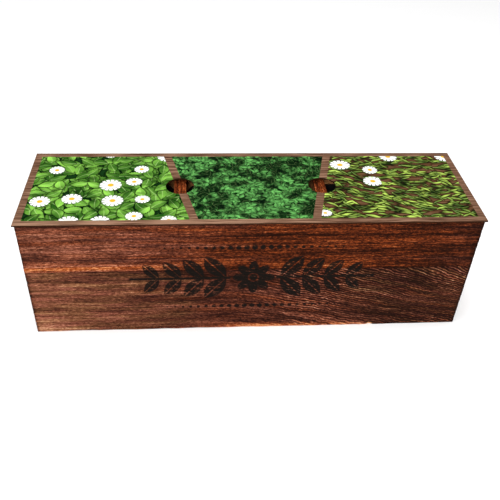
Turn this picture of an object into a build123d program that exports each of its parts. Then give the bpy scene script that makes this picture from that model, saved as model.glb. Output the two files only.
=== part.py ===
# Indoor herb planter: a window box of burnt boards with three planting bays under a card lid.
# Millimetres, +Z up. The origin is the centre of the footprint, on the surface the box stands on.
# X runs along the box and the front faces -Y.
from build123d import *
from math import cos, radians, sin, tan
import os

# Box
box_length = 360.0
box_width = 102.0
box_height = 111.0
wall_thickness = 10.0
base_thickness = 8.0
long_seam_height = 65.0  # glue line between the two boards of the front and back
end_seam_height = 40.0  # glue line between the two boards of an end
arris_radius = 0.8  # rounding of the outer edges

# Dividers, let into housings in the long walls
divider_thickness = 10.0
divider_drop = 4.0  # from the top of the walls down to the top of a divider
housing_depth = 2.0
housing_fit = 0.1  # slack round a divider's edge in its housing

# Brads, set below the surface and filled over
brad_diameter = 1.4
brad_length = 25.0
brad_head_diameter = 2.2
brad_head_thickness = 0.8
brad_tip_length = 2.0
brad_set_depth = 1.0
brad_fit = 0.02
brad_edge_distance = 14.0  # from a board's long edge to its nearest brad
base_brad_spacing = 90.0  # along the long walls

# Card lid
lid_thickness = 1.2
lid_overhang = 1.2
lid_hole_diameter = 23.0

# Liners, one for each bay
liner_height = 80.0
liner_wall = 0.9
liner_gap = 1.0  # from the lip to the walls of the bay
liner_lip_width = 1.6
liner_lip_thickness = 1.4
liner_corner_radius = 9.0
liner_foot_radius = 4.0
liner_draft = 3.0  # degrees

# Pressed soil discs and seed packets
coir_thickness = 14.0
coir_gap = 1.2  # from the disc to the rounded foot of the liner's wall
coir_chamfer = 1.5
packet_width = 60.0
packet_height = 66.0
packet_sheet = 0.5
packet_seam = 5.0  # flat sealed border
packet_fill = 1.6  # how far the seeds bulge the front
packet_slope = 55.0  # degrees that the bulge's sides lean in
packet_lean = 24.0  # degrees from upright
seat_gap = 0.2  # between a packet and what it leans on

# Derived layout
inner_length = box_length - 2 * wall_thickness
inner_width = box_width - 2 * wall_thickness
bay_length = (inner_length - 2 * divider_thickness) / 3
bay_pitch = bay_length + divider_thickness
divider_centre = (bay_length + divider_thickness) / 2
bays = {"left": -bay_pitch, "centre": 0.0, "right": bay_pitch}
dividers = {"left": -divider_centre, "right": divider_centre}
end_sides = {"left": -1, "right": 1}
long_sides = {"front": -1, "back": 1}
long_boards = {"lower": (0.0, long_seam_height), "upper": (long_seam_height, box_height)}
end_boards = {"lower": (0.0, end_seam_height), "upper": (end_seam_height, box_height)}
end_board_centre = (box_length - wall_thickness) / 2
liner_rim_height = base_thickness + liner_height
liner_mouth_length = bay_length - 2 * (liner_gap + liner_lip_width)
liner_mouth_width = inner_width - 2 * (liner_gap + liner_lip_width)
liner_floor_width = liner_mouth_width - 2 * (
    liner_foot_radius + (liner_height - liner_wall) * tan(radians(liner_draft))
)
coir_diameter = liner_floor_width - 2 * coir_gap
coir_bottom = base_thickness + liner_wall
coir_top = coir_bottom + coir_thickness

os.makedirs("parts", exist_ok=True)


def save(builder, name):
    """Labels a finished piece and writes its STEP file."""
    builder.part.label = name
    export_step(builder.part, f"parts/{name}.step")


# Where the brads go: each place is a plane at the brad's head whose normal runs along the brad
def from_long_wall(side, x, height):
    """A brad driven through the front (side -1) or back (side 1)."""
    return Plane(origin=(x, side * (box_width / 2 - brad_set_depth), height), z_dir=(0, -side, 0))


def from_end(side, y, height):
    """A brad driven through the left (side -1) or right (side 1) end."""
    return Plane(origin=(side * (box_length / 2 - brad_set_depth), y, height), z_dir=(-side, 0, 0))


brad_heights = [
    height
    for bottom, top in long_boards.values()
    for height in (bottom + brad_edge_distance, top - brad_edge_distance)
]
brad_places = {
    "corner_brads": [
        from_long_wall(side, end_side * end_board_centre, height)
        for side in long_sides.values()
        for end_side in end_sides.values()
        for height in brad_heights
    ],
    "divider_brads": [
        from_long_wall(side, x, height)
        for side in long_sides.values()
        for x in dividers.values()
        for height in brad_heights
    ],
    "base_brads": [
        from_long_wall(side, x, base_thickness / 2)
        for side in long_sides.values()
        for x in (-base_brad_spacing, 0.0, base_brad_spacing)
    ]
    + [
        from_end(end_side, y, base_thickness / 2)
        for end_side in end_sides.values()
        for y in (-inner_width / 4, inner_width / 4)
    ],
}


def brad_blank(growth):
    """A headed brad along +Z from the top of its head, grown all round for the hole it sits in."""
    shank = brad_diameter / 2 + growth
    head = brad_head_diameter / 2 + growth
    end = brad_length + growth
    with BuildPart() as blank:
        with BuildSketch(Plane.XZ):
            with BuildLine():
                Polyline(
                    (0, 0),
                    (head, 0),
                    (head, brad_head_thickness + growth),
                    (shank, brad_head_thickness + growth),
                    (shank, end - brad_tip_length),
                    (0, end),
                    close=True,
                )
            make_face()
        revolve(axis=Axis.Z)
    return blank.part


brad = brad_blank(0.0)
brad_hole = brad_blank(brad_fit)


def drill_for(*groups):
    """Cuts the holes of these groups of brads in the piece being built."""
    for group in groups:
        with Locations(*brad_places[group]):
            add(brad_hole, mode=Mode.SUBTRACT)


def outer_arrises(face, is_upper):
    """The edges of a board's outer face, apart from the one on the glue line."""
    rising = face.edges().sort_by(Axis.Z)
    return rising[1:] if is_upper else rising[:-1]


# Front and back walls
for side_name, side in long_sides.items():
    for level, (bottom, top) in long_boards.items():
        with BuildPart() as long_board:
            with BuildSketch(Plane.XY.offset(bottom)):
                with Locations((0, side * (box_width - wall_thickness) / 2)):
                    Rectangle(box_length, wall_thickness)
            extrude(amount=top - bottom)
            with BuildSketch(Plane.XY.offset(max(bottom, base_thickness))):
                with Locations(*[(x, side * (inner_width + housing_depth) / 2) for x in dividers.values()]):
                    Rectangle(divider_thickness + 2 * housing_fit, housing_depth)
            extrude(amount=box_height, mode=Mode.SUBTRACT)
            outer_face = long_board.faces().sort_by(Axis.Y)[0 if side < 0 else -1]
            fillet(outer_arrises(outer_face, level == "upper"), arris_radius)
            drill_for("corner_brads", "divider_brads", "base_brads")
        save(long_board, f"{side_name}_{level}_board")

# Ends, butted between the long walls
for end_name, side in end_sides.items():
    for level, (bottom, top) in end_boards.items():
        with BuildPart() as end_board:
            with BuildSketch(Plane.XY.offset(bottom)):
                with Locations((side * end_board_centre, 0)):
                    Rectangle(wall_thickness, inner_width)
            extrude(amount=top - bottom)
            outer_face = end_board.faces().sort_by(Axis.X)[0 if side < 0 else -1]
            level_edges = outer_face.edges().filter_by(Axis.Y).sort_by(Axis.Z)
            fillet(level_edges[-1 if level == "upper" else 0], arris_radius)
            drill_for("corner_brads", "base_brads")
        save(end_board, f"{end_name}_end_{level}_board")

# Base, let in between the walls
with BuildPart() as base_board:
    with BuildSketch():
        Rectangle(inner_length, inner_width)
    extrude(amount=base_thickness)
    drill_for("base_brads")
save(base_board, "base_board")

# Dividers, standing on the base
for name, x in dividers.items():
    with BuildPart() as divider:
        with BuildSketch(Plane.XY.offset(base_thickness)):
            with Locations((x, 0)):
                Rectangle(divider_thickness, inner_width + 2 * (housing_depth - housing_fit))
        extrude(amount=box_height - divider_drop - base_thickness)
        drill_for("divider_brads")
    save(divider, f"{name}_divider")

# Brads
for group, places in brad_places.items():
    with BuildPart() as brads:
        with Locations(*places):
            add(brad)
    save(brads, group)

# Card lid, with a round hole over each divider
with BuildPart() as lid_card:
    with BuildSketch(Plane.XY.offset(box_height)):
        Rectangle(box_length + 2 * lid_overhang, box_width + 2 * lid_overhang)
        with Locations(*[(x, 0) for x in dividers.values()]):
            Circle(lid_hole_diameter / 2, mode=Mode.SUBTRACT)
    extrude(amount=lid_thickness)
save(lid_card, "lid_card")


# Liners: drafted trays with a lip, hanging down from the plane of their rim
def tray_blank(rim, inset):
    """A drafted block with a rounded foot under the rim, smaller by the inset on every side but the top."""
    with BuildPart() as blank:
        with BuildSketch(rim):
            RectangleRounded(
                liner_mouth_length - 2 * inset, liner_mouth_width - 2 * inset, liner_corner_radius - inset
            )
        extrude(amount=liner_height - inset, taper=liner_draft)
        fillet(blank.faces().sort_by(Axis.Z)[0].edges(), liner_foot_radius - inset)
    return blank.part


for name, x in bays.items():
    rim = Plane(origin=(x, 0, liner_rim_height), x_dir=(1, 0, 0), z_dir=(0, 0, -1))
    with BuildPart() as liner:
        add(tray_blank(rim, 0.0))
        with BuildSketch(rim):
            RectangleRounded(
                liner_mouth_length + 2 * liner_lip_width,
                liner_mouth_width + 2 * liner_lip_width,
                liner_corner_radius + liner_lip_width,
            )
        extrude(amount=liner_lip_thickness)
        add(tray_blank(rim, liner_wall), mode=Mode.SUBTRACT)
    save(liner, f"{name}_liner")

# Pressed soil discs, flat on the liners' floors
for name, x in bays.items():
    with BuildPart() as coir_disc:
        with BuildSketch(Plane.XY.offset(coir_bottom)):
            with Locations((x, 0)):
                Circle(coir_diameter / 2)
        extrude(amount=coir_thickness)
        chamfer(coir_disc.edges().filter_by(GeomType.CIRCLE), coir_chamfer)
    save(coir_disc, f"{name}_coir_disc")

# Seed packets: each stands on its disc and leans back on the liner's rear wall
lean = radians(packet_lean)
packet_foot_height = coir_top + seat_gap
packet_head_height = packet_foot_height + packet_height * cos(lean)
rear_wall = liner_mouth_width / 2 - liner_wall - (liner_rim_height - packet_head_height) * tan(radians(liner_draft))
packet_foot = rear_wall - seat_gap - packet_height * sin(lean)
for name, x in bays.items():
    back = Plane(origin=(x, packet_foot, packet_foot_height), x_dir=(1, 0, 0), z_dir=(0, -cos(lean), sin(lean)))
    with BuildPart() as seed_packet:
        with BuildSketch(back):
            Rectangle(packet_width, packet_height, align=(Align.CENTER, Align.MIN))
        extrude(amount=packet_sheet)
        with BuildSketch(back.offset(packet_sheet)):
            with Locations((0, packet_height / 2)):
                Rectangle(packet_width - 2 * packet_seam, packet_height - 2 * packet_seam)
        extrude(amount=packet_fill, taper=packet_slope)
    save(seed_packet, f"{name}_seed_packet")
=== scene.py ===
# Looks of the indoor herb planter: burnt boards, a printed card lid, liners, soil discs and seed packets.
# Metres, in the part's own frame: X runs along the box, the front faces -Y and Z is up.
# The shaders and the shapes' own outlines count in millimetres.
import bmesh
import bpy
import itertools
import numpy as np
from collections import namedtuple
from dataclasses import dataclass
from functools import partial, partialmethod
from math import cos, pi, radians, sin, tan
from mathutils import Matrix, Vector


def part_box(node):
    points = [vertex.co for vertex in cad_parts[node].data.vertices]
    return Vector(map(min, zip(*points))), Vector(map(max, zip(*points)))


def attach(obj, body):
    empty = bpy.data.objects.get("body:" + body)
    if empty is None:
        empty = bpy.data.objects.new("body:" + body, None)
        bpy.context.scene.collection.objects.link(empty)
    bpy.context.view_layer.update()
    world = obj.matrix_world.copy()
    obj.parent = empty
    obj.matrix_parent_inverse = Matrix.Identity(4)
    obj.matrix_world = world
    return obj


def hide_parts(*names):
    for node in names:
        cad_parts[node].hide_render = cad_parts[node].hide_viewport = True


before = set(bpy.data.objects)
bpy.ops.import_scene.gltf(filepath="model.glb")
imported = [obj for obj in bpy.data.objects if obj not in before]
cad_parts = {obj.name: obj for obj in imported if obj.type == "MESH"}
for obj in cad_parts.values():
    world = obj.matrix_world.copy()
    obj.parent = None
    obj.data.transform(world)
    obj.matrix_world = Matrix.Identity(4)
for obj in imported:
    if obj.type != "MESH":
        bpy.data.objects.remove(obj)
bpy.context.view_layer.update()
MM = 0.001


def corners(node):
    """The lowest and highest corner of a CAD node, in millimetres."""
    return [np.array(corner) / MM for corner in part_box(node)]


class Signal:
    """A value that varies over a surface. Arithmetic on it adds math nodes."""

    def __init__(self, tree, socket):
        self.tree = tree
        self.socket = socket

    def math(self, operation, *others):
        node = self.tree.nodes.new("ShaderNodeMath")
        node.operation = operation
        for socket, value in zip(node.inputs, (self, *others)):
            plug(self.tree, socket, value)
        return Signal(self.tree, node.outputs[0])

    __add__ = __radd__ = partialmethod(math, "ADD")
    __mul__ = __rmul__ = partialmethod(math, "MULTIPLY")
    __sub__ = partialmethod(math, "SUBTRACT")
    __rsub__ = partialmethod(math, "MULTIPLY_ADD", -1)
    __truediv__ = partialmethod(math, "DIVIDE")
    least = partialmethod(math, "MINIMUM")
    most = partialmethod(math, "MAXIMUM")
    size = partialmethod(math, "ABSOLUTE")

    def hypot(self, other):
        return (self * self + other * other).math("SQRT")

    def step(self, low, high):
        """A smooth step, 0 at low and 1 at high. Low may be the larger."""
        node = self.tree.nodes.new("ShaderNodeMapRange")
        node.interpolation_type = "SMOOTHSTEP"
        for name, value in (("Value", self), ("From Min", low), ("From Max", high)):
            plug(self.tree, node.inputs[name], value)
        return Signal(self.tree, node.outputs[0])

    def inside(self, edge):
        """1 where the value is positive and 0 elsewhere, with an edge this soft."""
        return self.step(-edge, edge)


def plug(tree, socket, value):
    """Links a signal to a socket, or sets a number or colour on it."""
    if isinstance(value, Signal):
        tree.links.new(value.socket, socket)
    elif socket.type == "RGBA":
        socket.default_value = (*value, 1)
    else:
        socket.default_value = value


class Material:
    """A node material, with short calls for its nodes."""

    def __init__(self, name, **sockets):
        self.made = bpy.data.materials.new(name)
        self.made.use_nodes = True
        self.tree = self.made.node_tree
        self.surface = self.tree.nodes["Principled BSDF"]
        self.set(**sockets)

    def fill(self, node, **sockets):
        """Sets or links sockets of a node, named with _ for a space."""
        for name, value in sockets.items():
            plug(self.tree, node.inputs[name.replace("_", " ")], value)

    def set(self, **sockets):
        """Sets or links sockets of the surface shader."""
        self.fill(self.surface, **sockets)

    def node(self, kind, **sockets):
        node = self.tree.nodes.new(kind)
        self.fill(node, **sockets)
        return node

    def out(self, node, name=0):
        return Signal(self.tree, node.outputs[name])

    def parts(self, vector):
        node = self.node("ShaderNodeSeparateXYZ", Vector=vector)
        return [self.out(node, axis) for axis in "XYZ"]

    def place(self):
        """Where a point is in the part's frame, in millimetres."""
        node = self.node("ShaderNodeTexCoord")
        return [axis / MM for axis in self.parts(self.out(node, "Object"))]

    def attribute(self, name, output="Fac"):
        node = self.node("ShaderNodeAttribute")
        node.attribute_name = name
        return self.out(node, output)

    def facing(self):
        """The direction that the surface faces."""
        return self.parts(self.out(self.node("ShaderNodeNewGeometry"), "Normal"))

    def vector(self, x, y, z):
        return self.out(self.node("ShaderNodeCombineXYZ", X=x, Y=y, Z=z))

    def noise(self, x, y, z, detail=2, roughness=0.5):
        """Smooth noise about 0.5, with features about one unit across."""
        vector = self.vector(x, y, z)
        node = self.node("ShaderNodeTexNoise", Vector=vector, Scale=1, Detail=detail, Roughness=roughness)
        return self.out(node)

    def cells(self, place, cell, start, scatter):
        """A loose net: how far a place is from its cell's centre, that centre, and three random numbers."""
        u, v = (along / cell + first for along, first in zip(place, start))
        net = self.node("ShaderNodeTexVoronoi", Vector=self.vector(u, v, 0), Scale=1, Randomness=scatter)
        net.voronoi_dimensions = "2D"
        centre_u, centre_v, _ = self.parts(self.out(net, "Position"))
        return u - centre_u, v - centre_v, (centre_u, centre_v), self.parts(self.out(net, "Color"))

    def colours(self, signal, stops):
        """A colour for each value: stops are (value, colour) pairs."""
        node = self.node("ShaderNodeValToRGB", Fac=signal)
        ramp = node.color_ramp.elements
        while len(ramp) < len(stops):
            ramp.new(1)
        for element, (value, colour) in zip(ramp, stops):
            element.position = value
            element.color = (*colour, 1)
        return self.out(node)

    def mix(self, share, under, over, blend="MIX"):
        node = self.tree.nodes.new("ShaderNodeMix")
        node.data_type = "RGBA"
        node.blend_type = blend
        colours = [socket for socket in node.inputs if socket.type == "RGBA"]
        for socket, value in zip((node.inputs["Factor"], *colours), (share, under, over)):
            plug(self.tree, socket, value)
        return Signal(self.tree, next(socket for socket in node.outputs if socket.type == "RGBA"))

    def relief(self, height, depth):
        """Bumps whose height signal runs over a depth in millimetres."""
        self.set(Normal=self.out(self.node("ShaderNodeBump", Height=height, Distance=depth * MM)))


# Colours of the wood, from dark to light
RED_COLOURS = [
    (0.1, (0.014, 0.0042, 0.0022)),
    (0.34, (0.054, 0.0118, 0.0042)),
    (0.52, (0.124, 0.024, 0.0066)),
    (0.7, (0.245, 0.05, 0.012)),
    (0.88, (0.43, 0.115, 0.032)),
    (1, (0.62, 0.27, 0.11)),
]
UMBER_COLOURS = [
    (0.1, (0.013, 0.005, 0.0032)),
    (0.36, (0.052, 0.0165, 0.009)),
    (0.56, (0.125, 0.0415, 0.021)),
    (0.74, (0.235, 0.086, 0.045)),
    (0.9, (0.4, 0.176, 0.096)),
    (1, (0.56, 0.3, 0.17)),
]
BARE_COLOURS = [
    (0.15, (0.43, 0.165, 0.055)),
    (0.5, (0.67, 0.3, 0.112)),
    (0.85, (0.81, 0.46, 0.21)),
]
INK = (0.0068, 0.0058, 0.0048)
RUSSET_TINT = (1.05, 0.93, 1.08)
OLIVE_TINT = (0.95, 1.12, 0.95)

# Patterns of the grain: the size of a feature, its share in the tone, where it begins and how fine it is
Pattern = namedtuple("Pattern", "length width depth share shift detail roughness", defaults=(0, 0, 2, 0.5))
BROAD = Pattern(140, 8, 6, share=0.7)
PATCH = Pattern(36, 5, 9, share=0.3, shift=20, detail=1)
STREAK = Pattern(30, 1.05, 1.3, share=1.6, detail=5, roughness=0.66)
FIBRE = Pattern(2.2, 0.75, 0.8, share=1.4, detail=3, roughness=0.7)
FLECK = Pattern(5, 0.9, 1, share=0.16, shift=90, detail=1)
PORE = Pattern(2.6, 0.8, 0.6, share=0.22, detail=1)
HUE = Pattern(90, 4, 9, shift=40)
OLIVE = Pattern(34, 5, 9, shift=7, detail=1)
SWAY = Pattern(4.5, 5, 9, shift=60, detail=0)
BREAK = Pattern(9, 2.2, 3, shift=30, detail=1)
MIDDLE_TONE = 0.47
HOLLOW_SHADE = 0.08
UMBER_CALM = 0.32  # how much calmer brown wood is than red
FIGURE_LIFT = 0.35  # how much livelier rippled wood is
RING_TURN = 2.25  # radians in a millimetre
RING_JOG = 0.6  # how far fibres push a ring aside
RING_SWAY = 1.8


def wood(name, stamp=None):
    """Wood, dark where it was burnt. Its grain follows the boards' attributes."""
    look = Material(name, Specular_IOR_Level=0.01)
    along, across, deep = look.parts(look.attribute("grain", "Vector"))
    burn, hollow, figure, umber, shade = map(look.attribute, ("burn", "hollow", "figure", "umber", "tone"))

    def noise(kind):
        start = along / kind.length + kind.shift
        return look.noise(start, across / kind.width, deep / kind.depth, kind.detail, kind.roughness)

    broad, patch, streak, fibre, hue, sway = map(noise, (BROAD, PATCH, STREAK, FIBRE, HUE, SWAY))
    fleck = noise(FLECK).step(0.6, 0.74)
    pore = noise(PORE).step(0.42, 0.28)
    broken = noise(BREAK).step(0.3, 0.7)
    olive = noise(OLIVE).step(0.3, 0.7) * umber.step(0.72, 0.82)
    rings = ((across + (fibre - 0.5) * RING_JOG + (sway - 0.5) * RING_SWAY) * RING_TURN).math("SINE")
    lively = 1 - umber * UMBER_CALM + figure * FIGURE_LIFT
    tone = (broad - 0.5) * BROAD.share + (patch - 0.5) * PATCH.share
    tone += (streak - 0.5) * (lively * STREAK.share - figure * 0.7)
    tone += (fibre - 0.5) * (lively * FIBRE.share + 0.35)
    tone += fleck * lively * FLECK.share - pore * lively * PORE.share - hollow * HOLLOW_SHADE
    tone += rings * figure * (broken * 0.2 + 0.22)
    tone += shade + MIDDLE_TONE
    brown = (hue * 1.6 - 0.8 + umber).step(0, 1)
    char = look.mix(brown, look.colours(tone, RED_COLOURS), look.colours(tone, UMBER_COLOURS))
    char = look.mix(brown * 0.8, char, look.mix(olive, RUSSET_TINT, OLIVE_TINT), blend="MULTIPLY")
    bare = look.colours(streak + (fibre - 0.5) * 1.2 - pore * 0.15, BARE_COLOURS)
    colour = look.mix(burn, bare, char)
    if stamp is not None:
        worn = (fibre * 1.6 + streak * 1.4 - 1.25 + broad * 0.3).step(0.55, 0.85)
        colour = look.mix(stamp(look) * (0.96 - worn * 0.7), colour, INK)
    look.set(Base_Color=colour, Roughness=0.72 - fibre * 0.2)
    look.relief(fibre * 0.8 + streak - pore * 0.5, depth=0.25)
    return look.made


# Shapes and values worked out point by point
LATTICE_COUNT = 64  # numbers after which lattice noise repeats


def smooth(value, low, high):
    """A smooth step, 0 at low and 1 at high. Low may be the larger."""
    share = np.clip((value - low) / (high - low), 0, 1)
    return share * share * (3 - 2 * share)


def hump(value, centre, reach):
    """1 at the centre, falling away over about the reach."""
    return np.exp(-(((value - centre) / reach) ** 2))


def lattice(u, v, seed):
    """Smooth noise from 0 to 1, with a random value at each whole number of u and v."""
    values = np.random.default_rng(seed).random((LATTICE_COUNT, LATTICE_COUNT))
    column = np.floor(u).astype(int)
    row = np.floor(v).astype(int)
    right = smooth(u - column, 0, 1)
    over = smooth(v - row, 0, 1)

    def across(row):
        start, end = (values[(column + step) % LATTICE_COUNT, row % LATTICE_COUNT] for step in (0, 1))
        return start * (1 - right) + end * right

    return across(row) * (1 - over) + across(row + 1) * over


def add_object(name, data):
    thing = bpy.data.objects.new(name, data)
    bpy.context.scene.collection.objects.link(thing)
    return thing


def wrap(name, *shapes):
    """A piece of closed shapes, each of rows of points with a flat cap at each end."""
    points = []
    faces = []
    start = 0
    for shape in shapes:
        rows, columns = shape.shape[:2]
        index = np.arange(start, start + rows * columns).reshape(rows, columns)
        beside = np.roll(index, -1, axis=1)
        quads = np.stack((index[:-1], index[1:], beside[1:], beside[:-1]), axis=-1)
        faces += quads.reshape(-1, 4).tolist()
        faces.append(index[0].tolist())
        faces.append(index[-1].tolist())
        points.append(shape.reshape(-1, 3))
        start += rows * columns
    mesh = bpy.data.meshes.new(name)
    mesh.from_pydata(np.vstack(points).tolist(), [], faces)
    return add_object(name, mesh)


def add_attributes(piece, **layers):
    """Gives each point of a piece its number or vector in each layer."""
    for name, values in layers.items():
        kind, key = ("FLOAT", "value") if values.ndim < 3 else ("FLOAT_VECTOR", "vector")
        layer = piece.data.attributes.new(name, kind, "POINT")
        layer.data.foreach_set(key, values.astype(np.float32).ravel())


def install(piece, material, body, node, sharp_angle):
    """Cleans a piece, smooths all but its sharp edges and puts it on a body in a CAD node's place."""
    shape = bmesh.new()
    shape.from_mesh(piece.data)
    bmesh.ops.remove_doubles(shape, verts=shape.verts, dist=0.001 * MM)
    bmesh.ops.dissolve_degenerate(shape, edges=shape.edges, dist=0.001 * MM)
    bmesh.ops.recalc_face_normals(shape, faces=shape.faces)
    shape.to_mesh(piece.data)
    shape.free()
    piece.data.shade_smooth()
    piece.data.set_sharp_from_angle(angle=radians(sharp_angle))
    piece.data.materials.append(material)
    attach(piece, body)
    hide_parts(node)


# Boards. A board's own coordinates are along its grain, out of the box and up, in millimetres.
FACE_STEP = 0.65  # across the grain of the outer face
GRAIN_STEP = 1.8  # along the grain
INNER_STEP = 9  # up the inner face
EDGE_STEP = 2.5  # over the top and bottom edges
ARC_STEPS = 4
HOUSING_DEPTH = 2
STEP_WALL = 0.02  # how steep the side of a housing is
EDGE_RADIUS = 0.8
SAWN_RADIUS = 0.3  # of inner and glued edges too
END_RINGS = (0.15, 0.32, 0.48)  # of points on the end grain, as shares of the thickness
GRAIN_SHIFT = (523, 71)  # along and up, from one seed to the next
RELIEF_DEPTH = 0.35  # how deep brushing has cut the soft grain
RELIEF_RIM = (2, 1)  # depths under the outer face between which this begins
CHIP_LENGTH = 9
CHIP_REACH = 1.2
CHIP_DEPTH = 0.55
CHIP_RISE = 0.4
NICK_DEPTH = 1.4
NICK_RISE = 0.5
NICK_REACH = (1.7, 1.8, 3)  # along, up and into the board

# Depths from the inner face, the top edge and the end grain between which the burning begins
WALL_FLAME = {"inside": (0.2, 1.5), "top": (4, 1)}
LONG_FLAME = {**WALL_FLAME, "end": (0.5, 0)}
DIVIDER_FLAME = {"top": (1.2, 0.2)}


def run(start, end, step):
    """Evenly spaced places from start towards end, both left out."""
    count = max(int(np.max(np.abs(np.subtract(end, start))) / step), 1)
    return np.linspace(start, end, count + 1)[1:-1]


def section(thickness, height, radii):
    """Points round a board's section, from the inside over the top to the outside."""
    inner_bottom, inner_top, outer_top, outer_bottom = radii
    edges = [
        (inner_bottom, inner_bottom, inner_bottom, 270),
        (inner_top, height - inner_top, inner_top, 180),
        (thickness - outer_top, height - outer_top, outer_top, 90),
        (thickness - outer_bottom, outer_bottom, outer_bottom, 0),
    ]
    arcs = []
    for deep, up, radius, first in edges:
        turn = np.radians(np.linspace(first, first - 90, ARC_STEPS + 1))
        arcs.append(np.column_stack((deep + radius * np.cos(turn), up + radius * np.sin(turn))))
    points = []
    for arc, after, step in zip(arcs, arcs[1:] + arcs[:1], (INNER_STEP, EDGE_STEP, FACE_STEP, EDGE_STEP)):
        points += [arc, run(arc[-1], after[0], step)]
    return np.vstack(points)


def board_stations(length, end_radius, housings):
    """Where along a board its sections stand."""
    turn = np.radians(np.linspace(0, 90, ARC_STEPS + 1))
    rounding = end_radius * (1 - np.cos(turn))
    places = [rounding, run(rounding[-1], length - rounding[-1], GRAIN_STEP), length - rounding]
    for start, end, _ in housings:
        places.append(np.array([start - STEP_WALL, start, end, end + STEP_WALL]))
    return np.unique(np.round(np.concatenate(places), 4))


@dataclass
class Board:
    """A board with worn edges and brushed faces in place of a CAD node."""

    node: str
    axes: tuple  # along, out of and up the board
    outward: int  # 1 or -1, the way the outer face looks
    radii: tuple  # of the inner bottom, inner top, outer top and outer bottom edge
    flame: dict
    seed: int
    shade: object  # tells how light and how brown each place is
    end_radius: float = 0  # of the upright edges, where the end grain shows
    housings: tuple = ()
    wave: float = 1  # how far the grain sways
    figure: tuple = None  # where the grain is rippled, and how far this bends it
    nicks: tuple = ()

    def make(self, material):
        """Builds the board, with the attributes that its wood follows."""
        low, high = corners(self.node)
        axes = list(self.axes)
        length, thickness, height = (high - low)[axes]
        outline = section(thickness, height, self.radii)
        stations = board_stations(length, self.end_radius, self.housings)
        rings = END_RINGS if self.end_radius else ()
        insets = np.array((*rings[::-1], *np.zeros(len(stations)), *rings))[:, None] * thickness
        stations = np.pad(stations, len(rings), mode="edge")
        along = np.repeat(stations[:, None], len(outline), axis=1)
        deep = np.clip(outline[:, 0], insets, thickness - insets)
        up = np.clip(outline[:, 1], insets, height - insets)
        to_end = np.maximum(np.minimum(along, length - along), 0)
        past = np.maximum(self.end_radius - to_end, 0)
        deep = np.minimum(deep, thickness - self.end_radius + np.sqrt(self.end_radius**2 - past**2))
        grain = self.grain_lines(along, deep, up)
        tone, umber = self.shade(along, up + low[axes[2]], length)
        chipped = self.chipped(along, up, thickness - deep)
        depths = {"inside": deep, "top": height - up, "end": to_end}
        burn = np.zeros_like(along)
        for side, span in self.flame.items():
            burn = np.maximum(burn, smooth(depths[side], *span))
        burn = burn * smooth(chipped, 0.2, 0.02)
        broad = lattice(along / 50, up / 2.6, self.seed)
        fine = lattice(along / 16, up / 1.3, self.seed + 1)
        hollow = smooth((broad + fine) / 2, 0.35, 0.75) * smooth(thickness - deep, *RELIEF_RIM)
        deep = deep - RELIEF_DEPTH * hollow - NICK_DEPTH * chipped
        deep, up = self.wear(along, deep, up + NICK_RISE * chipped, thickness, height)
        for start, end, sill in self.housings:
            within = (along >= start) & (along <= end) & (up >= sill)
            deep = np.where(within, np.maximum(deep, HOUSING_DEPTH), deep)
        figure = self.figure[0](along, up) if self.figure else np.zeros_like(along)
        points = np.empty((*along.shape, 3))
        points[..., axes] = np.stack((along, deep if self.outward > 0 else thickness - deep, up), axis=-1)
        piece = wrap(f"{self.node}_grain", (low + points) * MM)
        add_attributes(piece, grain=grain, burn=burn, hollow=hollow, tone=tone, umber=umber, figure=figure)
        install(piece, material, "box", self.node, sharp_angle=35)

    def grain_lines(self, along, deep, up):
        """Coordinates that the colour of the grain follows, apart from those of other boards."""
        slow = lattice(along / 60, up / 18, self.seed + 2)
        quick = lattice(along / 18, up / 6, self.seed + 3)
        bent = up + self.wave * (slow + 0.4 * quick)
        if self.figure:
            bent = bent + self.figure[1](along, up)
        shift_along, shift_up = (shift * self.seed for shift in GRAIN_SHIFT)
        return np.stack((along + shift_along, bent + shift_up, deep), axis=-1)

    def chipped(self, along, up, to_face):
        """1 in the heart of a nick in the lower outer edge."""
        reach_along, reach_up, reach_in = NICK_REACH
        edge = hump(up, 0, reach_up) * hump(to_face, 0, reach_in)
        return sum((edge * hump(along, place, reach_along) for place in self.nicks), np.zeros_like(along))

    def wear(self, along, deep, up, thickness, height):
        """Rounds the outer edges unevenly."""
        chips = lattice(along / CHIP_LENGTH, 0.5, self.seed + 5) ** 2
        to_face = thickness - deep
        _, _, outer_top, outer_bottom = self.radii
        for to_edge, inward, radius in ((height - up, -1, outer_top), (up, 1, outer_bottom)):
            if radius < EDGE_RADIUS:
                continue
            worn = chips * np.exp(-(to_edge + to_face) / CHIP_REACH)
            deep = deep - CHIP_DEPTH * worn
            up = up + inward * CHIP_RISE * worn
        return deep, up


# Stamp on the front
Branch = namedtuple("Branch", "start pitch count length half_width lean taper edge")
INK_EDGE = 0.3
RIB_HALF = 0.45
STAMP_BRANCH = Branch(22, 18, 4, 29, 7, radians(50), 0.11, INK_EDGE)
STAMP_HEIGHT = 57
STEM_HALF = 1.3
STEM_TIP = 100
BLOSSOM_RADIUS = 17
BLOSSOM_GAP = 1.5
PETAL_START = 4.6
HEART_RADIUS = 3.2
BEAD_RISE = 31
BEAD_PITCH = 6.4
BEAD_RADIUS = 2.4
BEAD_REACH = 72


def leaf_pairs(along, away, branch):
    """Leaves in pairs on a straight branch, each pair smaller than the one before."""
    start, pitch, count, length, half_width, lean, taper, edge = branch
    number = ((along - start) / pitch).math("FLOOR")
    local = along - start - number * pitch
    shrink = 1 - number * taper
    reach = (local * cos(lean) + away * sin(lean)) / shrink / length
    off = (away * cos(lean) - local * sin(lean)).size() / shrink
    belly = reach * (1 - reach) * (4 * half_width)
    leaf = (belly - off).inside(edge) * (off - RIB_HALF).inside(edge)
    return leaf * number.step(-0.6, -0.4) * number.step(count - 0.4, count - 0.6)


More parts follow.
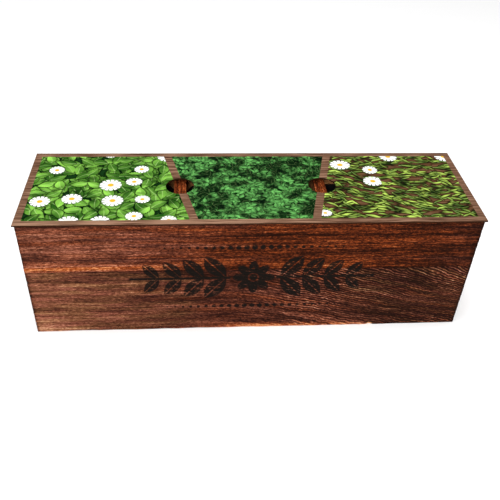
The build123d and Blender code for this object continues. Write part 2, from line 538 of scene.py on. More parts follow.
def stamp_ink(look):
    """Two leafy branches that grow from a blossom, between two rows of beads."""
    x, _, z = look.place()
    side = x.size()
    rise = (z - STAMP_HEIGHT).size()
    leaf = leaf_pairs(side, rise, STAMP_BRANCH)
    stem = (STEM_HALF - rise).inside(INK_EDGE) * side.step(STEM_TIP, STEM_TIP - 1)
    distance = side.hypot(rise)
    petals = ((rise.math("ARCTAN2", side) * 4).math("COSINE").size() * 0.42 + 0.58) * BLOSSOM_RADIUS
    petal = (petals - distance).inside(INK_EDGE) * (distance - PETAL_START).inside(INK_EDGE)
    heart = (HEART_RADIUS - distance).inside(INK_EDGE)
    outside = (distance - BLOSSOM_RADIUS - BLOSSOM_GAP).inside(INK_EDGE)
    bead_number = (side / BEAD_PITCH + 0.5).math("FLOOR")
    bead_off = side - bead_number * BEAD_PITCH
    bead_size = (1 - side / (BEAD_REACH * 1.5)) * BEAD_RADIUS
    bead = (bead_size - bead_off.hypot(rise - BEAD_RISE)).inside(INK_EDGE)
    bead = bead * side.step(BEAD_REACH + 0.1, BEAD_REACH - 0.1)
    return (leaf.most(stem) * outside).most(petal).most(heart).most(bead)


# Box
LONG_AXES = (0, 1, 2)  # along, out and up on the front and back
CROSS_AXES = (1, 0, 2)  # on the ends and dividers
FLAT_AXES = (0, 2, 1)  # on the base
DIVIDERS = ("left_divider", "right_divider")
HOUSING_SLACK = 0.1
SEAM_HEIGHT = corners("front_lower_board")[1][2]
END_SEAM_HEIGHT = corners("left_end_lower_board")[1][2]
SEAM_EDGE = (-0.2, 0.2)  # where one board's shade passes into the next
BOX_TOP = corners("front_upper_board")[1][2]
NICK_PLACE = 284  # from the left end of the front


def ripple_share(along, up):
    """The ripples of the lower front board grow towards its right, in patches."""
    patches = smooth(lattice(along / 45, up / 22, seed=3), 0.2, 0.6)
    return smooth(along, 130, 240) * (0.5 + 0.5 * patches)


def ripple(along, up):
    """Grain that falls and wobbles towards the right of the board."""
    past = np.maximum(along - 165, 0)
    fall = 0.46 * past**2 / (past + 45) * (0.66 + 0.34 * smooth(up, 0, 60))
    wobble = 0.35 * np.sin(along / 2.4 + 6 * lattice(along / 25, up / 9, seed=4))
    bulge = 4 * lattice(along / 26, up / 16, seed=5)
    return fall + smooth(along, 150, 230) * (wobble + bulge)


def edge_burn(along, length):
    """The flame lingers on the corners of the box."""
    to_end = np.minimum(along, length - along)
    return 0.45 * np.exp(-to_end / 1.1) * smooth(to_end, 0, 0.2) + 0.1 * np.exp(-to_end / 0.1)


def front_shade(along, height, length):
    """How light and how brown the front is, by lengths from its left end and the ground."""
    over_seam = height - SEAM_HEIGHT
    above = smooth(over_seam, *SEAM_EDGE)
    below = 1 - above
    left = smooth(along, 210 - 45 * below, 60 - 70 * below)
    right = smooth(along, 190, 320)
    band_height = 97.5 + 2.5 * lattice(along / 60, 0, seed=71)
    strip = hump(over_seam, 3, 2.9) * (smooth(along, 170, 40) + 0.8 * hump(along, 250, 60))
    lit_corner = 0.07 + 0.13 * hump(height, 6, 16)
    lit_foot = 0.25 + 0.75 * smooth(along, 110, 180) - smooth(along - NICK_PLACE, -8, 2)
    # Marks on the front, of the flame and of painted light and shade: where each lies, how far it lightens
    # the wood and how far it turns it brown
    marks = [
        # Lighter and milkier to the left: partly the wood's own tone, partly painted light and painted
        # sheen falling from the left
        (left, 0.09, 0.75),
        (left * below, 0.04, 0),
        (below, -0.02, 0.7),
        (below * right, -0.05, 0.1),
        # Darker to the right: partly the wood's own tone, partly painted shade at the far end of that fall
        # of light
        (right, -0.105, 0),
        (above * smooth(along, 290, 350), -0.06, 0.3),
        (hump(along, 185, 75), -0.07, 0),
        (hump(height, band_height, 1.9) * smooth(along, 100, 210), -0.24, 0),
        (smooth(height - band_height, 1.5, 4.5) * smooth(along, 140, 230), 0.04, 0),
        (above * strip, 0.2, -0.7),
        (hump(over_seam, -5, 4) * left * smooth(along, 16, 56), -0.1, 0),
        # Painted light on the lower left corner
        (below * lit_corner * hump(along, 0, 36), 1, 0),
        (hump(along, 296, 28) * hump(height, 52, 11), -0.16, 0.3),
        # A lighter line along the bottom edge: partly a worn edge, partly painted light against the floor's
        # shadow
        (hump(height, 0, 4) * lit_foot, 0.55, -0.6),
        (np.exp(-np.abs(over_seam) / 0.5), -0.16, 0),
        # Painted shadow under the lid's overhang, along the top edge of the front
        (np.exp(height - BOX_TOP), -0.13, 0),
        (edge_burn(along, length) * (0.4 + 0.8 * np.maximum(below, right)), -1, 0),
    ]
    tone = sum(light * share for share, light, _ in marks) - 0.01
    umber = sum(brown * share for share, _, brown in marks)
    return tone, umber


def plain_shade(seam_height, seed, along, height, length):
    """How light and how brown a board is, on a wall with a glue line at this height."""
    draw = np.random.default_rng(seed)
    over_seam = height - seam_height
    upper = smooth(over_seam, *SEAM_EDGE) - 0.5
    tone = 0.22 * (lattice(along / 70, height / 24, seed + 7) - 0.5) + 0.07 * upper
    tone = tone + 0.2 * (draw.random() - 0.5)
    tone = tone - 0.2 * np.exp(-np.abs(over_seam) / 0.6) - edge_burn(along, length)
    umber = 0.8 * lattice(along / 90, height / 30, seed + 8) - 0.6 * upper
    umber = umber + 0.4 * (draw.random() - 0.5)
    return tone, umber


def sawn_shade(along, height, length):
    """The even colour of a sawn board."""
    return np.full_like(along, 0.03), np.zeros_like(along)


def housings_of(level):
    """Start, end and sill of each divider's housing in the lower or upper long boards."""
    board_low, _ = corners(f"front_{level}_board")
    _, base_high = corners("base_board")
    sill = max(base_high[2] - board_low[2], 0)
    spans = []
    for low, high in map(corners, DIVIDERS):
        start, end = low[0] - HOUSING_SLACK, high[0] + HOUSING_SLACK
        spans.append((start - board_low[0], end - board_low[0], sill))
    return spans


def build_boards():
    char = wood("burnt_wood")
    stamped = wood("burnt_wood_stamped", stamp_ink)
    bare = wood("bare_wood")
    seeds = itertools.count(start=20, step=10)
    levels = {
        "lower": (SAWN_RADIUS, SAWN_RADIUS, SAWN_RADIUS, EDGE_RADIUS),
        "upper": (SAWN_RADIUS, SAWN_RADIUS, EDGE_RADIUS, SAWN_RADIUS),
    }
    for level, radii in levels.items():
        long_board = {"end_radius": EDGE_RADIUS, "housings": housings_of(level)}
        name = f"front_{level}_board"
        front = Board(name, LONG_AXES, -1, radii, LONG_FLAME, next(seeds), front_shade, **long_board)
        if level == "lower":
            front.figure = (ripple_share, ripple)
            front.wave = 2
            front.nicks = (NICK_PLACE,)
        front.make(stamped)
        seed = next(seeds)
        shade = partial(plain_shade, SEAM_HEIGHT, seed)
        name = f"back_{level}_board"
        back = Board(name, LONG_AXES, 1, radii, LONG_FLAME, seed, shade, wave=2.5, **long_board)
        back.make(char)
        for side, outward in (("left", -1), ("right", 1)):
            seed = next(seeds)
            shade = partial(plain_shade, END_SEAM_HEIGHT, seed)
            name = f"{side}_end_{level}_board"
            end = Board(name, CROSS_AXES, outward, radii, WALL_FLAME, seed, shade, wave=3)
            end.make(char)
    sawn = (SAWN_RADIUS,) * 4
    for name in DIVIDERS:
        Board(name, CROSS_AXES, 1, sawn, DIVIDER_FLAME, next(seeds), sawn_shade).make(bare)
    Board("base_board", FLAT_AXES, -1, sawn, {}, next(seeds), sawn_shade).make(bare)


build_boards()


# Lid print
LID_HALF_LENGTH, LID_HALF_WIDTH, _ = corners("lid_card")[1]
HOLE_PLACE = np.mean(corners("right_divider"), axis=0)[0]  # to both sides of the middle
PRINT_BORDER = 5.7
BAND_HALF = 3.3
BAND_SLANT = 0.24  # how far a band leans out for each step back
PRINT_EDGE = 0.1
BORDER_COLOURS = [(0.33, (0.03, 0.012, 0.006)), (0.5, (0.14, 0.07, 0.042)), (0.67, (0.33, 0.19, 0.12))]
BOARD_COLOURS = [(0.2, (0.022, 0.009, 0.004)), (0.5, (0.1, 0.046, 0.021)), (0.8, (0.27, 0.15, 0.078))]
SOIL_GREEN = (0.006, 0.03, 0.006)
GAP_COLOUR = (0.001, 0.005, 0.002)
LEAF_SHADOW = (0.001, 0.005, 0.001)
RIB_COLOUR = (0.5, 0.72, 0.26)
LEAF_LAYERS = 5
LEAF_REACH = 0.56  # from a leaf's middle to its tip, in cells

# The left, the centre and the right field of the print
FIELDS = {
    "cell": (17, 8, 17),  # millimetres between the lowest leaves
    "closer": (1, 0.6, 2),  # how much less in each next layer
    "half_width": (0.3, 0.29, 0.1),  # of a leaf, in cells
    "frill": (0.06, 0.2, 0),
    "turn": (2 * pi, 2 * pi, 1.5),  # over which leaves are turned
    "heading": (0, 0, -1),
    "spread": (0.13, 0.075, 0.12),  # how softly lit clumps pass into dark ones
    "glow": (0.16, 0.05, 0.1),  # of the dark ones
    "rib": (0.4, 0.2, 0.3),
    "sparse": (0, 0.1, 0.12),
    "gap_edge": (0.45, 0.45, 0.5),
    "gap_shade": (0.5, 0.9, 0.75),
    "no_daisy": (0.45, 2, 0.68),  # share of cells without one
    "deep": ((0.008, 0.06, 0.005), (0.001, 0.007, 0.002), (0.012, 0.04, 0.003)),
    "bright": ((0.31, 0.69, 0.095), (0.17, 0.56, 0.13), (0.66, 0.92, 0.14)),
}


def by_field(look, zones, name):
    """A number or a colour of the print, as each of its three fields has it."""
    left, centre, right = FIELDS[name]
    in_left, in_centre, in_right = zones
    if isinstance(left, tuple):
        return look.mix(in_centre, look.mix(in_right, left, right), centre)
    return in_left * left + in_centre * centre + in_right * right


def leaf_layer(look, place, field, shared, under, layer):
    """Lays a leaf with a soft shadow in each cell of a loose net, over the colour under it."""
    x, y = place
    shift = 3.7 * layer + 1.3
    clump = look.noise(x / 12 + shift, y / 10, shift * 0.15, detail=1.5) * 0.4 + shared * 0.6
    spread = field("spread")
    lit = clump.step(0.5 - spread, 0.5 + spread)
    cell = field("cell") - field("closer") * layer
    off_u, off_v, _, (chance, other, third) = look.cells(place, cell, (shift, shift * 1.7), scatter=0.75)
    turn = chance * field("turn") + field("heading")
    cosine = turn.math("COSINE")
    sine = turn.math("SINE")
    reach = (off_u * cosine + off_v * sine) / LEAF_REACH
    side = off_v * cosine - off_u * sine + reach * reach * (third - 0.5) * 0.3
    away = side.size()
    belly = (1 - reach * reach) * (1 - reach * 0.35) * field("half_width")
    belly = belly * (1 + (reach * 26).math("SINE") * field("frill"))
    inside = (belly - away).step(-0.012, 0.02)
    shadow = (belly + 0.16 - away).step(0, 0.18)
    rib = (away / (1.2 - reach)).step(0.02, 0.006)
    veins = ((reach - away * 3) * 22).math("SINE") * 0.5 + 0.5
    fold = side.step(-0.12, 0.12)
    shade = other * 0.5 + fold * 0.26 + veins * 0.12 + reach * 0.14 + 0.08
    shade = shade * (lit * 0.9 + field("glow"))
    leaf = look.mix(shade, field("deep"), field("bright"))
    leaf = look.mix(rib * field("rib"), leaf, RIB_COLOUR)
    sparse = field("sparse")
    present = third.step(0.02, 0.04) * (clump - third * 0.25).step(sparse, sparse + 0.08)
    under = look.mix(shadow * present * 0.92, under, LEAF_SHADOW)
    return look.mix(inside * present, under, leaf)


DAISY_CELL = 24
DAISY_START = (7.3, 3.1)  # where the net of daisies begins, in cells
DAISY_PETALS = 13
DAISY_CLEAR = 20  # from the middle of a hole
PETAL_WHITE = (0.9, 0.91, 0.88)
PETAL_CREASE = (0.42, 0.48, 0.36)
HEART_YELLOW = (0.88, 0.58, 0.04)
HEART_BROWN = (0.5, 0.22, 0.01)
DAISY_SHADOW = (0.004, 0.012, 0.003)


def daisy_layer(look, place, field, under):
    """Scatters white blossoms with yellow hearts, clear of the holes."""
    x, y = place
    start_u, start_v = DAISY_START
    off_u, off_v, (centre_u, centre_v), chances = look.cells(place, DAISY_CELL, DAISY_START, scatter=0.7)
    chance, other, third = chances
    off_v = off_v * (1 + other * 0.35)
    radius = off_u.hypot(off_v) / (0.7 + third * 0.5)
    angle = off_v.math("ARCTAN2", off_u)
    petal = (angle * (DAISY_PETALS / 2) + other * 6).math("SINE").size()
    edge = petal.step(0.05, 0.55) * 0.14 + 0.17
    from_hole_x = ((centre_u - start_u) * DAISY_CELL).size() - HOLE_PLACE
    from_hole = from_hole_x.hypot((centre_v - start_v) * DAISY_CELL)
    present = chance.math("GREATER_THAN", field("no_daisy")) * (from_hole - DAISY_CLEAR).step(0, 0.1)
    flower = (edge - radius).step(-0.01, 0.015) * present
    shadow = (edge + 0.09 - radius).step(0, 0.12) * present
    heart = radius.step(0.092, 0.078)
    crease = petal.step(0.6, 0.1) * radius.step(0.1, 0.2)
    white = look.mix(crease * 0.5 + radius.step(0.2, 0.08) * 0.4, PETAL_WHITE, PETAL_CREASE)
    dots = look.noise(x / 0.7, y / 0.7, 0, detail=1)
    yellow = look.mix(dots * 0.7 + radius * 3, HEART_YELLOW, HEART_BROWN)
    under = look.mix(shadow * 0.65, under, DAISY_SHADOW)
    return look.mix(flower, under, look.mix(heart, white, yellow))


def lid_print(look):
    """A leafy print in three fields, framed in brown and parted by two slanting bands."""
    x, y, _ = look.place()
    parting = x.size() - (y * BAND_SLANT + HOLE_PLACE)
    outer = parting.step(-0.05, 0.05)
    left = outer * x.step(0.5, -0.5)
    right = outer * x.step(-0.5, 0.5)
    field = partial(by_field, look, (left, 1 - outer, right))
    planks = look.colours(look.noise(x / 30, y / 1.6, 0, detail=3), BOARD_COLOURS)
    colour = look.mix(right, SOIL_GREEN, planks)
    shared = look.noise(x / 15 + 1.3, y / 13, 0.2, detail=1.5)
    for layer in range(LEAF_LAYERS):
        colour = leaf_layer(look, (x, y), field, shared, colour, layer)
    gap_edge = field("gap_edge")
    gap = look.noise(x / 12 + 5, y / 9, 2).step(gap_edge, gap_edge - 0.12)
    colour = look.mix(gap * field("gap_shade"), colour, GAP_COLOUR)
    colour = daisy_layer(look, (x, y), field, colour)
    # The border is paler along the left part of its front side
    paler_front_left = x.step(70, -20) * y.step(-42, -48)
    grain = look.noise(x / 26, y / 0.9, 0, detail=3) + paler_front_left * 0.09
    to_edge = (LID_HALF_LENGTH - x.size()).least(LID_HALF_WIDTH - y.size())
    border = (PRINT_BORDER - to_edge).inside(PRINT_EDGE)
    band = (BAND_HALF - parting.size()).inside(PRINT_EDGE)
    return look.mix(border.most(band), colour, look.colours(grain, BORDER_COLOURS))


# The card's cut edges: near-black, painted shadow along the lid's edge and the holes' rims
CUT_EDGE_SHADOW_COLOURS = ((0.02, 0.008, 0.004), (0.042, 0.017, 0.008))
KRAFT_COLOURS = ((0.32, 0.24, 0.16), (0.46, 0.37, 0.27))
CARD_ROUNDING = 0.18


def build_lid():
    look = Material("printed_card", Roughness=0.55, Specular_IOR_Level=0)
    x, y, z = look.place()
    _, _, up = look.facing()
    pulp = look.noise(x / 1.4, y / 0.6, z / 0.5, detail=4, roughness=0.7)
    # The faces that look neither up nor down, the cut edges, take the painted shadow colours
    face = look.mix(up.step(0.3, 0.6), look.mix(pulp, *CUT_EDGE_SHADOW_COLOURS), lid_print(look))
    look.set(Base_Color=look.mix(up.step(-0.3, -0.6), face, look.mix(pulp, *KRAFT_COLOURS)))
    look.relief(pulp, depth=0.03)
    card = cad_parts["lid_card"]
    card.data.materials.clear()
    card.data.materials.append(look.made)
    soften = card.modifiers.new("worn_edges", "BEVEL")
    soften.width = CARD_ROUNDING * MM
    soften.segments = 2
    soften.limit_method = "ANGLE"


build_lid()


# Liners
BAYS = ("left", "centre", "right")
LINER_WALL = 0.9
LIP_WIDTH = 1.6
LIP_THICKNESS = 1.4
LIP_ROUNDING = 0.4
LINER_CORNER = 9
LINER_FOOT = 4
LINER_DRAFT = radians(3)
RIB_DEPTH = 0.7
RIB_PITCH = 11
FLOOR_RINGS = (24, 12, 4)  # from the edge of the flat floor
FOOT_ROWS = 6
WALL_ROWS = 26
SIDE_STEPS = 64  # along each straight side
CORNER_STEPS = 8
BLACKS = ((0.008, 0.008, 0.009), (0.02, 0.019, 0.019))
DUST_COLOUR = (0.1, 0.075, 0.055)


def rounded_outline(half_length, half_width, radius, rib):
    """Points round a rectangle with rounded corners and ribs along its sides."""
    points = []
    for quarter in range(4):
        turn = quarter * pi / 2
        ahead = np.array((cos(turn), sin(turn)))
        aside = np.array((-sin(turn), cos(turn)))
        reach, breadth = (half_width, half_length) if quarter % 2 else (half_length, half_width)
        flat = breadth - radius
        place = np.linspace(-flat, flat, SIDE_STEPS)[:, None]
        clear = smooth(flat - np.abs(place), 1, 4)
        ridge = np.clip(np.cos(2 * pi * place / RIB_PITCH), 0, 1) ** 2 * clear
        points.append((reach - rib * ridge) * ahead + place * aside)
        bend = np.linspace(0, pi / 2, CORNER_STEPS + 2)[1:-1, None]
        out = reach - radius + radius * np.cos(bend)
        points.append(out * ahead + (flat + radius * np.sin(bend)) * aside)
    return np.vstack(points)


def liner_skin(height, inset):
    """One skin of a liner from its floor up: insets from the mouth, heights and rib depths."""
    foot = LINER_FOOT - inset
    side = inset + (height - inset) * tan(LINER_DRAFT)
    rows = [(side + LINER_FOOT + ring, inset, 0) for ring in FLOOR_RINGS]
    for turn in np.linspace(0, pi / 2, FOOT_ROWS)[:-1]:
        rows.append((side + foot - foot * sin(turn), inset + foot * (1 - cos(turn)), 0))
    for share in np.linspace(0, 1, WALL_ROWS) ** 0.8:
        up = LINER_FOOT + share * (height - LIP_THICKNESS - 2 - LINER_FOOT)
        fade = smooth(up, LINER_FOOT, LINER_FOOT + 10) * smooth(height - up, 6, 14)
        rows.append((inset + (height - up) * tan(LINER_DRAFT), up, RIB_DEPTH * fade))
    return rows


def liner_profile(height):
    """Rows of a liner, from its inner floor over the lip to its underside."""
    lip = [
        (LINER_WALL, height),
        (LIP_ROUNDING - LIP_WIDTH, height),
        (LIP_ROUNDING / 4 - LIP_WIDTH, height - LIP_ROUNDING / 4),
        (-LIP_WIDTH, height - LIP_ROUNDING),
        (-LIP_WIDTH, height - LIP_THICKNESS),
        (0, height - LIP_THICKNESS),
    ]
    return liner_skin(height, LINER_WALL) + [(*row, 0) for row in lip] + liner_skin(height, 0)[::-1]


def build_liners():
    look = Material("black_plastic", Specular_IOR_Level=0.4)
    x, y, z = look.place()
    mottle = look.noise(x / 30, y / 30, z / 18, detail=3)
    grit = look.noise(x / 0.8, y / 0.8, z / 0.8)
    dust = look.noise(x / 9, y / 9, z / 3, detail=4).step(0.5, 0.8) * 0.5
    black = look.mix(mottle, *BLACKS)
    look.set(Base_Color=look.mix(dust * 0.25, black, DUST_COLOUR))
    look.set(Roughness=0.32 + mottle * 0.2 + dust * 0.2)
    look.relief(grit * 0.3 + mottle, depth=0.08)
    for bay in BAYS:
        low, high = corners(f"{bay}_liner")
        centre = (low + high) / 2
        half_length, half_width, _ = (high - low) / 2 - LIP_WIDTH
        rows = []
        for inset, up, rib in liner_profile(high[2] - low[2]):
            radius = max(LINER_CORNER - inset, 1)
            outline = rounded_outline(half_length - inset, half_width - inset, radius, rib) + centre[:2]
            rows.append(np.column_stack((outline, np.full(len(outline), low[2] + up))))
        piece = wrap(f"{bay}_liner_shell", np.array(rows) * MM)
        install(piece, look.made, f"{bay}_tray", f"{bay}_liner", sharp_angle=50)


# Soil discs
COIR_STEPS = 128
COIR_EDGE = 2.4
FIBRE_COUNT = 240
FIBRE_RADIUS = 0.2
FIBRE_STEPS = 7
FIBRE_LENGTH = (5, 16)
SOIL_COLOURS = [
    (0.05, (0.014, 0.007, 0.004)),
    (0.35, (0.075, 0.036, 0.017)),
    (0.65, (0.19, 0.1, 0.048)),
    (1, (0.48, 0.31, 0.165)),
]


def coir_rows(radius, thickness, seed):
    """Crumbly rings of a pressed disc from below to above, and how pale each point is."""
    turn = np.linspace(0, 2 * pi, COIR_STEPS, endpoint=False)
    around = turn / (2 * pi) * LATTICE_COUNT
    flat = radius - COIR_EDGE
    bend = np.linspace(0, pi / 2, 5)[1:]
    profile = [(share * flat, 0) for share in (0.05, 0.5, 1)]
    profile += [(flat + COIR_EDGE * sin(t), COIR_EDGE * (1 - cos(t))) for t in bend]
    profile += [(radius, up) for up in np.linspace(COIR_EDGE, thickness - COIR_EDGE, 8)[1:]]
    profile += [(flat + COIR_EDGE * cos(t), thickness - COIR_EDGE * (1 - sin(t))) for t in bend]
    profile += [(share * flat, thickness) for share in np.linspace(0.96, 0.03, 30)]
    rows = []
    paleness = []
    for reach, up in profile:
        crumb = lattice(around, up + reach / 2.3, seed)
        lump = lattice(around / 4, (up + reach) / 7, seed + 1)
        bite = 0.7 * crumb + 0.6 * lump
        out = reach - bite * smooth(reach, radius - 6, radius)
        fall = 0.8 * bite * smooth(up, 1, thickness)
        rows.append(np.column_stack((out * np.cos(turn), out * np.sin(turn), up - fall)))
        paleness.append(0.55 * (1 - bite))
    return np.array(rows), np.array(paleness)


def strand(points):
    """Rows of a three-sided strand along points, tapering to both ends."""
    ahead = np.gradient(points, axis=0)
    ahead /= np.linalg.norm(ahead, axis=1)[:, None]
    aside = np.cross(ahead, (0, 0, 1))
    aside /= np.maximum(np.linalg.norm(aside, axis=1), 1e-6)[:, None]
    above = np.cross(aside, ahead)
    thick = FIBRE_RADIUS * np.sin(np.linspace(0.15, pi - 0.15, len(points)))[:, None]
    turns = [0.5 + third * 2 * pi / 3 for third in range(3)]
    return np.stack([points + thick * (aside * cos(turn) + above * sin(turn)) for turn in turns], axis=1)


def coir_fibres(radius, thickness, draw):
    """Loose fibres that lie on the top of a disc and over its edge."""
    share = np.linspace(0, 1, FIBRE_STEPS)
    strands = []
    for _ in range(FIBRE_COUNT):
        start = radius * np.sqrt(draw.random()) * 0.98
        turn = draw.random() * 2 * pi
        heading = draw.random() * 2 * pi
        length = draw.uniform(*FIBRE_LENGTH)
        angle = heading + draw.normal(0, 0.12) * length * share[:-1]
        steps = np.exp(1j * angle) * length / (FIBRE_STEPS - 1)
        path = start * np.exp(1j * turn) + np.append(0, np.cumsum(steps))
        reach = np.abs(path)
        path = path * np.minimum(1, (radius - 0.2) / np.maximum(reach, 1e-6))
        fall = np.minimum(1.2 * np.maximum(reach - radius + 1.8, 0), thickness * 0.7)
        lift = 0.5 * np.sin(pi * share) * draw.random()
        up = thickness - 0.55 + lift - fall
        strands.append(strand(np.column_stack((path.real, path.imag, up))))
    return strands


def build_coir():
    look = Material("coir", Roughness=0.95, Specular_IOR_Level=0.1)
    x, y, z = look.place()
    crumb = look.noise(x / 1.3, y / 1.3, z / 1.3, detail=5, roughness=0.72)
    patch = look.noise(x / 11, y / 11, z / 11)
    tone = crumb * 0.7 + patch * 0.2 - 0.32 + look.attribute("paleness")
    look.set(Base_Color=look.colours(tone, SOIL_COLOURS))
    look.relief(crumb, depth=0.5)
    for number, bay in enumerate(BAYS):
        node = f"{bay}_coir_disc"
        low, high = corners(node)
        foot = np.array((*((low + high) / 2)[:2], low[2]))
        radius = (high[0] - low[0]) / 2
        thickness = high[2] - low[2]
        draw = np.random.default_rng(seed=700 + number)
        disc, paleness = coir_rows(radius, thickness, seed=500 + 10 * number)
        fibres = coir_fibres(radius, thickness, draw)
        fibre_paleness = np.repeat(0.45 + 0.5 * draw.random(FIBRE_COUNT), FIBRE_STEPS * 3)
        piece = wrap(f"{bay}_coir_crumb", *[(shape + foot) * MM for shape in (disc, *fibres)])
        add_attributes(piece, paleness=np.concatenate((paleness.ravel(), fibre_paleness)))
        install(piece, look.made, f"{bay}_tray", node, sharp_angle=60)


# Seed packets
PACKET_LEAN = radians(24)
PACKET_SHEET = 0.5
PACKET_SEAM = 5
PACKET_FILL = 1.6
PACKET_ROWS = 42  # between the seams
PACKET_COLUMNS = 49
CRIMP_PITCH = 1.25
CRIMP_DEPTH = 0.1
NOTCH_PITCH = 2.5
NOTCH_DEPTH = 0.6
NOTCH_EDGE = 0.4
CREASE_DEPTH = 0.21
SEED_BULGE = 0.22
PAPER_COLOURS = ((0.52, 0.42, 0.28), (0.74, 0.65, 0.49))
PACKET_HUES = ((0.07, 0.19, 0.03), (0.02, 0.11, 0.05), (0.15, 0.21, 0.025))
HUE_SHADE = (0.01, 0.06, 0.012)
SPRIG_EDGE = 0.12
SPRIG = Branch(14, 7, 4, 15, 3.6, radians(48), 0.12, SPRIG_EDGE)
TWIG_HALF = 0.5
TWIG_FOOT = 9
TWIG_TOP = 44
PACKET_BAND = 53  # height of its middle
PACKET_BAND_HALF = 3.5
PACKET_LINE = 4.8  # from the middle of the band
RULE_PLACE = 26.4  # to both sides
RULE_MIDDLE = 33
RULE_HALF = 26.6


def packet_grid(width, height, seed):
    """Across, up and forward lengths of a sealed paper packet: its face, then its back."""
    seam_rows = np.arange(0, PACKET_SEAM, CRIMP_PITCH / 4)
    middle_rows = np.linspace(PACKET_SEAM, height - PACKET_SEAM, PACKET_ROWS)
    rows = np.concatenate((seam_rows, middle_rows, height - seam_rows[::-1]))
    columns = np.linspace(-width / 2, width / 2, PACKET_COLUMNS)
    up, across = np.meshgrid(rows, columns, indexing="ij")
    to_seam = np.minimum(up, height - up)
    to_edge = np.minimum(to_seam, width / 2 - np.abs(across))
    swell = smooth(to_edge, PACKET_SEAM - 0.5, PACKET_SEAM + 13)
    crease = lattice(across / 7 + up / 11, up / 8 - across / 13, seed) * smooth(to_edge, 2, 9)
    seeds = lattice(across / 2.6, up / 2.6, seed + 1) * smooth(height * 0.55 - up, 0, 12)
    crimp = CRIMP_DEPTH * np.sin(2 * pi * up / CRIMP_PITCH) * smooth(PACKET_SEAM - to_seam, 0, 0.4)
    face = PACKET_SHEET + swell * (PACKET_FILL - 0.35 + SEED_BULGE * seeds) - CREASE_DEPTH * crease
    face = face - CRIMP_DEPTH + crimp
    back = CRIMP_DEPTH + crimp[:, ::-1] * 0.5
    notch = NOTCH_DEPTH * np.abs(2 * ((across / NOTCH_PITCH) % 1) - 1)
    cut_up = up + notch * (smooth(up, NOTCH_EDGE, 0) - smooth(height - up, NOTCH_EDGE, 0))
    front = np.hstack((np.ones_like(face), np.zeros_like(face)))
    grid_across, grid_up = (np.hstack((grid, grid[:, ::-1])) for grid in (across, cut_up))
    return grid_across, grid_up, np.hstack((face, back)), front


def packet_paper(name, hue):
    """Uncoated paper printed with a plain sprig under a coloured band."""
    look = Material(name, Roughness=0.8, Specular_IOR_Level=0.15)
    across, up, front = look.parts(look.attribute("sheet", "Vector"))
    pulp = look.noise(across / 0.9, up / 0.9, front, detail=4, roughness=0.7)
    paper = look.mix(pulp, *PAPER_COLOURS)
    side = across.size()
    leaf = leaf_pairs(up, side, SPRIG)
    stem = (TWIG_HALF - side).inside(SPRIG_EDGE)
    stem = stem * up.step(TWIG_FOOT, TWIG_FOOT + 0.4) * up.step(TWIG_TOP, TWIG_TOP - 0.5)
    shaded = look.mix(look.noise(across / 3, up / 3, 0, detail=3), hue, HUE_SHADE)
    from_band = (up - PACKET_BAND).size()
    band = (PACKET_BAND_HALF - from_band).inside(0.1)
    lines = (from_band - PACKET_LINE).size().step(0.4, 0.3)
    rules = (RULE_HALF - (up - RULE_MIDDLE).size()).inside(0.1)
    rules = rules * (side - RULE_PLACE).size().step(0.35, 0.2)
    ink = leaf.most(stem).most(band).most(lines).most(rules) * front.step(0.4, 0.6)
    look.set(Base_Color=look.mix(ink * (pulp * 0.3 + 0.78), paper, shaded))
    look.relief(pulp, depth=0.06)
    return look.made


def build_packets():
    lean_out = sin(PACKET_LEAN)
    lean_up = cos(PACKET_LEAN)
    for number, (bay, hue) in enumerate(zip(BAYS, PACKET_HUES)):
        node = f"{bay}_seed_packet"
        low, high = corners(node)
        height = (high[2] - low[2] - PACKET_SHEET * lean_out) / lean_up
        across, up, out, front = packet_grid(high[0] - low[0], height, seed=900 + 10 * number)
        foot = ((low[0] + high[0]) / 2, high[1] - height * lean_out, low[2])
        turned = (across, up * lean_out - out * lean_up, up * lean_up + out * lean_out)
        piece = wrap(f"{bay}_packet_paper", (np.stack(turned, axis=-1) + foot) * MM)
        add_attributes(piece, sheet=np.stack((across, up, front), axis=-1))
        paper = packet_paper(f"{bay}_packet_paper", hue)
        install(piece, paper, f"{bay}_tray", node, sharp_angle=60)


STEEL_COLOURS = ((0.34, 0.33, 0.32), (0.55, 0.54, 0.52))


def build_brads():
    look = Material("steel", Metallic=1)
    x, y, z = look.place()
    scuff = look.noise(x / 1.5, y / 1.5, z / 1.5, detail=3)
    look.set(Base_Color=look.mix(scuff, *STEEL_COLOURS), Roughness=0.3 + scuff * 0.25)
    for name in ("corner_brads", "divider_brads", "base_brads"):
        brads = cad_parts[name]
        brads.data.materials.clear()
        brads.data.materials.append(look.made)


build_liners()
build_coir()
build_packets()
build_brads()


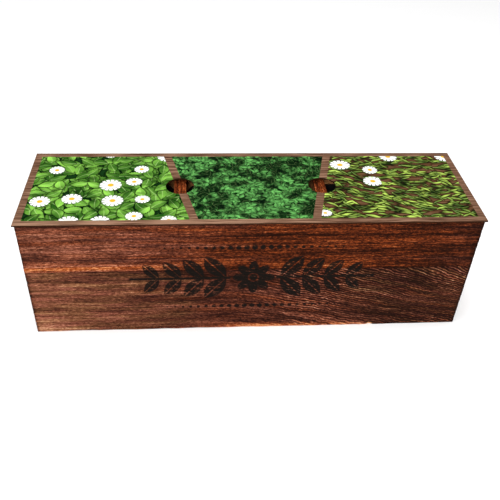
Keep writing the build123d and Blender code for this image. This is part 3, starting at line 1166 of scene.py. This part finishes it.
# Camera, fitted to the outline of the lid and the box in the photograph
FOCAL_LENGTH = 46.79856
CAMERA_PLACE = Vector((-45.1, -447.01, 402.33)) * MM
CAMERA_YAW = radians(5.933)
CAMERA_PITCH = radians(38.515)
CAMERA_ROLL = radians(2.925)


def build_camera():
    lens = bpy.data.cameras.new("camera")
    lens.sensor_width = 36
    lens.lens = FOCAL_LENGTH
    camera = add_object("camera", lens)
    turn = Matrix.Rotation(-CAMERA_YAW, 4, "Z") @ Matrix.Rotation(pi / 2 - CAMERA_PITCH, 4, "X")
    camera.matrix_world = Matrix.Translation(CAMERA_PLACE) @ turn @ Matrix.Rotation(CAMERA_ROLL, 4, "Z")
    bpy.context.scene.camera = camera


# Floor and light, in metres
FLOOR_CORNERS = ((-3, -3, 0), (3, -3, 0), (3, 3, 0), (-3, 3, 0))
FLOOR_COLOUR = (0.98, 0.98, 0.98)
SKY_STRENGTH = 0.68


def build_floor():
    mesh = bpy.data.meshes.new("floor")
    mesh.from_pydata(FLOOR_CORNERS, [], [(0, 1, 2, 3)])
    mesh.materials.append(Material("floor", Roughness=0.9, Base_Color=FLOOR_COLOUR).made)
    add_object("floor", mesh)


def area_light(name, place, target, size, power):
    light = bpy.data.lights.new(name, "AREA")
    light.size = size
    light.energy = power
    lamp = add_object(name, light)
    lamp.location = place
    lamp.rotation_euler = (Vector(target) - Vector(place)).to_track_quat("-Z", "Y").to_euler()


def build_light():
    world = bpy.data.worlds.new("studio")
    world.use_nodes = True
    sky = world.node_tree.nodes["Background"].inputs
    sky["Color"].default_value = (1, 1, 1, 1)
    sky["Strength"].default_value = SKY_STRENGTH
    bpy.context.scene.world = world
    area_light("key", place=(-0.25, -1.1, 0.84), target=(0, 0, 0.05), size=0.35, power=10.5)
    area_light("fill", place=(1.2, -0.7, 0.9), target=(0, 0, 0.05), size=1, power=3)
    area_light("top", place=(-0.2, -0.1, 1.6), target=(0, 0, 0.1), size=0.8, power=11)
    bpy.context.scene.view_settings.view_transform = "Standard"


build_camera()
build_floor()
build_light()
